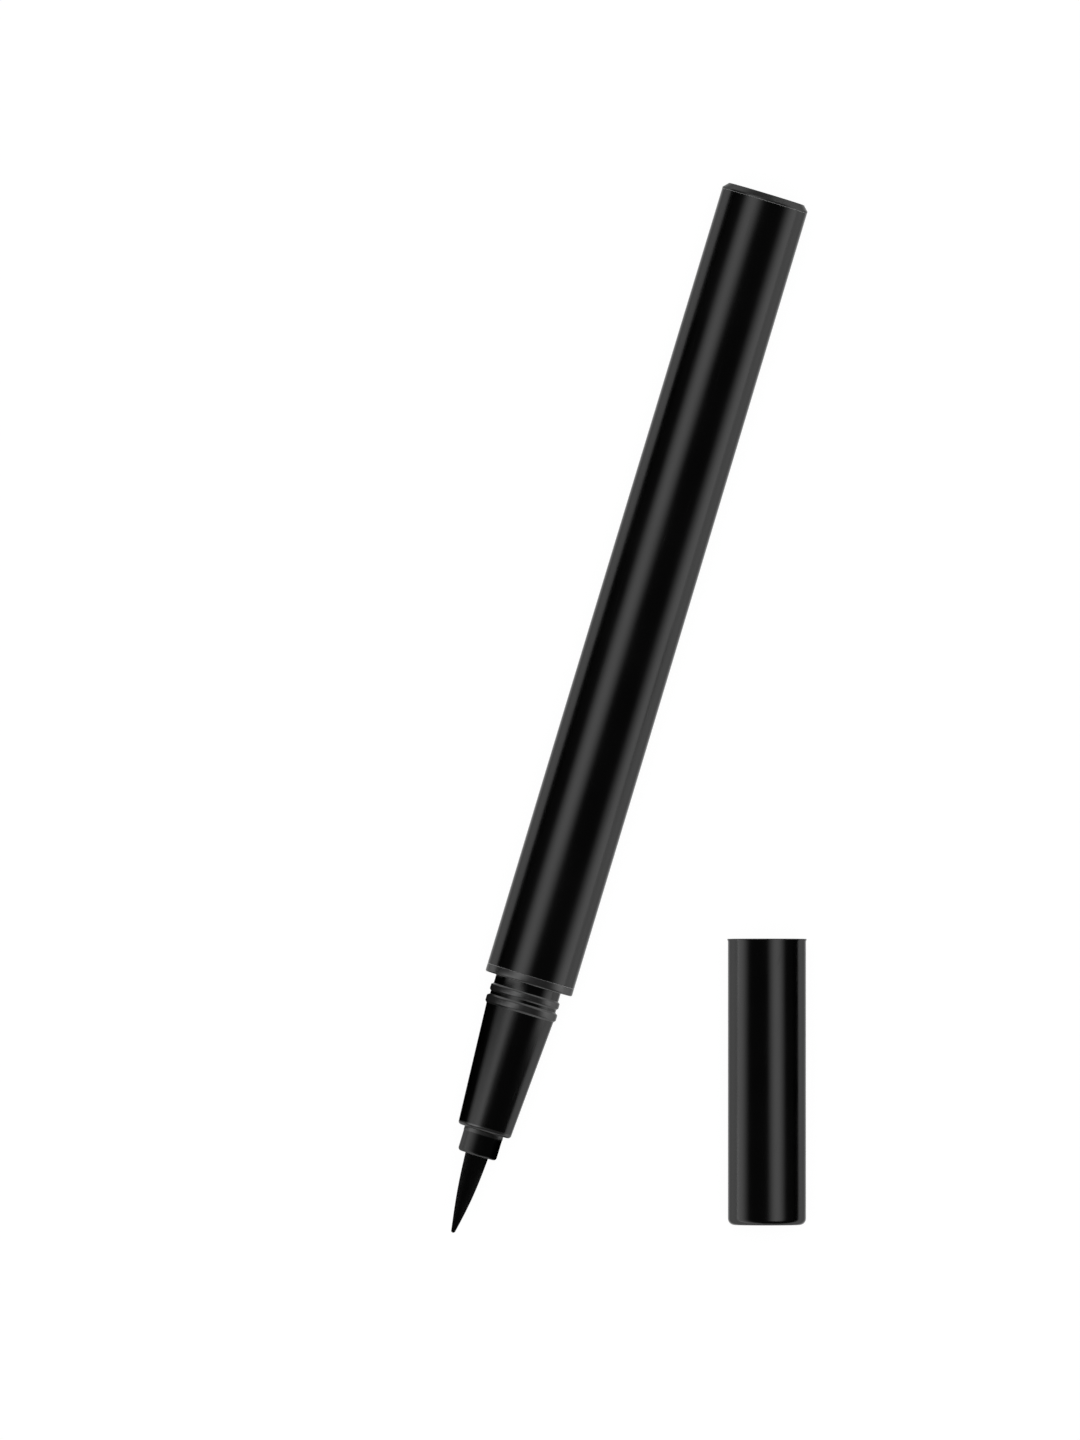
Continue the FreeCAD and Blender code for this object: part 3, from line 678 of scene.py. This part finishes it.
def makeTable():
    # White laminate. It shows white to the camera and in reflections, and the share that isn't its own light
    # keeps a soft contact shadow.
    finish, tree = newFinish("whiteLaminate")
    rays = addNode(tree, "ShaderNodeLightPath").node.outputs
    shown = {0: rays["Is Camera Ray"], 1: rays["Is Glossy Ray"]}
    seen = addNode(tree, "ShaderNodeMath", {"operation": "ADD"}, shown)
    seen = addNode(tree, "ShaderNodeMath", {"operation": "ADD", "use_clamp": True},
                   {0: seen, 1: rays["Is Transmission Ray"]})
    share = addNode(tree, "ShaderNodeMath", {"operation": "MULTIPLY", 1: table["ownLight"]}, {0: seen})
    matt = addNode(tree, "ShaderNodeBsdfDiffuse", {"Color": linearColour(table["white"])})
    glow = addNode(tree, "ShaderNodeEmission", {"Strength": table["strength"]})
    mixed = addNode(tree, "ShaderNodeMixShader", None, {0: share, 1: matt, 2: glow})
    addNode(tree, "ShaderNodeOutputMaterial", None, {"Surface": mixed})
    square = np.array([(-1, -1), (1, -1), (1, 1), (-1, 1)]) * table["size"] / 2
    corners = np.column_stack([square, np.full(4, tableTop)])
    newStage("table", corners, finish)


# A soft box's angles run from straight up to one side of an axis. Its fade is the share of its width over
# which the light dies away at the inner and the outer edge, and its middle is a station on the axis.
# What faces the pen's ends has an axis across the pen.
strip = {
    "angles": (-1, 60), "fade": (0.48, 0.48), "reach": 400, "middle": 35, "length": 700, "radiance": 1.75,
}
panel = {
    "angles": (50, 96.2), "fade": (0.7, 0.1), "reach": 48, "middle": 35, "length": 700, "radiance": 1.45,
}
capStrip = {**strip, "middle": 17.6}
capPanel = {**panel, "angles": (50, 102.5), "fade": (0.62, 0.14), "middle": 17.6}
flangeStrip = {**strip, "middle": 138, "length": 324}
flangePanel = {**panel, "middle": 146, "length": 308}
coneStrip = {
    "angles": (15, 92), "fade": (0.33, 0.39), "reach": 400, "middle": -120, "length": 160, "radiance": 2.25,
}
holderPanel = {**panel, "angles": (20, 97), "reach": 30}
forePanel = {
    "angles": (65, 90.5), "fade": (0, 0), "reach": 500, "middle": 0, "length": 500, "radiance": 0.7,
}
aftPanel = {**forePanel, "radiance": 0.25}
endPlace = placeOf((0, strip["middle"] * mm, 0), (-1, 0, 0))
overhead = {
    "angles": (-25, 25), "fade": (0, 0), "reach": 1600, "middle": 35, "length": 1500, "radiance": 1.8,
}


def fadeLamp(lamp, fade):
    # Strength is a smooth step in from one side of the lamp times a smooth step in from the other
    lamp.use_nodes = True
    tree = lamp.node_tree
    tree.nodes.clear()
    spot = addNode(tree, "ShaderNodeNewGeometry", output="Parametric")
    across = addNode(tree, "ShaderNodeSeparateXYZ", None, {0: spot}, "X")
    smooth = {"interpolation_type": "SMOOTHSTEP"}
    rise = {**smooth, "From Min": 0.0, "From Max": fade[0]}
    fall = {**smooth, "From Min": 1.0, "From Max": 1.0 - fade[1]}
    first = addNode(tree, "ShaderNodeMapRange", rise, {"Value": across})
    last = addNode(tree, "ShaderNodeMapRange", fall, {"Value": across})
    level = addNode(tree, "ShaderNodeMath", {"operation": "MULTIPLY"}, {0: first, 1: last})
    glow = addNode(tree, "ShaderNodeEmission", None, {"Strength": level})
    addNode(tree, "ShaderNodeOutputLight", None, {"Surface": glow})


def addLamp(name, place, side, box, pieces=()):
    # A soft box on one side of an axis. It lights only the pieces that it is given, or everything.
    angles = sorted(math.radians(angle) * side for angle in box["angles"])
    right, along, up = place["axes"]
    outward = math.sin(sum(angles) / 2) * right + math.cos(sum(angles) / 2) * up
    spot = place["origin"] + (along * box["middle"] + outward * box["reach"]) * mm
    lamp = bpy.data.lights.new(name, "AREA")
    lamp.shape = "RECTANGLE"
    lamp.size = 2 * box["reach"] * math.tan((angles[1] - angles[0]) / 2) * mm
    lamp.size_y = box["length"] * mm
    lamp.energy = 4 * lamp.size * lamp.size_y * box["radiance"]  # radiance is watts / (4 * area)
    holder = bpy.data.objects.new(name, lamp)
    turn = np.eye(4)
    turn[:3] = np.stack([np.cross(along, outward), along, outward, spot], axis=1)
    holder.matrix_world = Matrix(turn.tolist())
    holder.visible_camera = False
    bpy.context.scene.collection.objects.link(holder)
    if pieces:
        group = bpy.data.collections.new(name + "Pieces")
        for piece in pieces:
            group.objects.link(piece)
        holder.light_linking.receiver_collection = group
        holder.light_linking.blocker_collection = group
    if any(box["fade"]):
        fadeLamp(lamp, box["fade"][::side])
    return holder


# A card stands on the table at a distance to the right of an axis. Rays from further off than its reach pass
# through it.
flags = {
    "endFlag": {"place": endPlace, "right": 126, "along": (-40, 40), "height": 11, "reach": 300},
    "leftFlag": {"place": penPlace, "right": -38, "along": (-95, 165), "height": 11.5, "reach": 300},
    "rightFlag": {"place": penPlace, "right": 72, "along": (-95, 165), "height": 10.8, "reach": 300},
    "capFlag": {"place": capPlace, "right": 28, "along": (-27.4, 62.6), "height": 10.2, "reach": 50},
    "coneFlag": {"place": penPlace, "right": -5.2, "along": (-19.1, -0.2), "height": 8.6, "reach": 12},
    "nibFlag": {"place": penPlace, "right": 3.3, "along": (-24, -19.3), "height": 7.25, "reach": 12},
}


def addFlag(name, flag):
    # An upright black card that only reflections see: it ends the table's white glint
    finish, tree = newFinish(name + "Velvet")
    length = addNode(tree, "ShaderNodeLightPath", output="Ray Length")
    near = addNode(tree, "ShaderNodeMath", {"operation": "LESS_THAN", 1: flag["reach"] * mm}, {0: length})
    clear = addNode(tree, "ShaderNodeBsdfTransparent")
    black = addNode(tree, "ShaderNodeBsdfDiffuse", {"Color": (0, 0, 0, 1)})
    mixed = addNode(tree, "ShaderNodeMixShader", None, {0: near, 1: clear, 2: black})
    addNode(tree, "ShaderNodeOutputMaterial", None, {"Surface": mixed})
    place, right, (first, last) = flag["place"], flag["right"], flag["along"]
    foot = np.array([(right, first, 0), (right, last, 0)]) @ place["axes"] + place["origin"] / mm
    foot[:, 2] = tableTop
    corners = np.concatenate([foot, foot[::-1] + (0, 0, flag["height"])])
    card = newStage(name, corners, finish)
    card.visible_camera = card.visible_diffuse = card.visible_shadow = False


studioGrey = "#363636"


def makeLight():
    # The pen has its strip on the left and its panel on the right, and the cap has them the other way round.
    # The nose narrows to its tip, so its cone and its flange mirror different soft boxes.
    addLamp("penStrip", penPlace, -1, strip, [barrelPiece, tailPiece, nibPiece])
    addLamp("penPanel", penPlace, 1, panel, [barrelPiece, tailPiece, nibPiece])
    addLamp("flangeStrip", penPlace, -1, flangeStrip, [nosePiece])
    addLamp("flangePanel", penPlace, 1, flangePanel, [nosePiece])
    addLamp("coneStrip", penPlace, -1, coneStrip, [nosePiece])
    addLamp("holderPanel", penPlace, -1, holderPanel, [holderPiece])
    addLamp("capStrip", capPlace, 1, capStrip, capPieces)
    addLamp("capPanel", capPlace, -1, capPanel, capPieces)
    addLamp("forePanel", endPlace, -1, forePanel, [nosePiece])
    addLamp("aftPanel", endPlace, 1, aftPanel, [tailPiece])
    addLamp("overhead", penPlace, 1, overhead).visible_glossy = False
    for name, flag in flags.items():
        addFlag(name, flag)
    shells = [barrelPiece, tailPiece, nosePiece, nibPiece, *capPieces]
    for piece in [*shells, *(nodes[node] for node in innerFinishes)]:
        piece.visible_glossy = False  # pen and cap don't darken each other's glints
    world = bpy.data.worlds.new("studio")
    world.use_nodes = True
    world.node_tree.nodes["Background"].inputs["Color"].default_value = linearColour(studioGrey)
    bpy.context.scene.world = world


view = {
    "pixelsPerMm": 8.13, "tallPixels": 1440, "height": 4000.0, "middle": (-8.017, 31.471), "turn": 16.78,
    "sensor": 36.0, "clip": (10.0, 100000.0),
}


def makeCamera():
    # Straight down from far off, turned so that the cap stands upright in the picture
    lens = bpy.data.cameras.new("camera")
    lens.sensor_width = view["sensor"]
    lens.lens = view["sensor"] * view["height"] / (view["tallPixels"] / view["pixelsPerMm"])
    lens.clip_start, lens.clip_end = [v * mm for v in view["clip"]]
    camera = bpy.data.objects.new("camera", lens)
    camera.location = [v * mm for v in (*view["middle"], view["height"])]
    camera.rotation_euler = (0, 0, math.radians(view["turn"]))
    bpy.context.scene.collection.objects.link(camera)
    bpy.context.scene.camera = camera


makeTable()
makeLight()
makeCamera()
bpy.context.scene.view_settings.view_transform = "Standard"
print("stage: table, lamps, flags and camera")
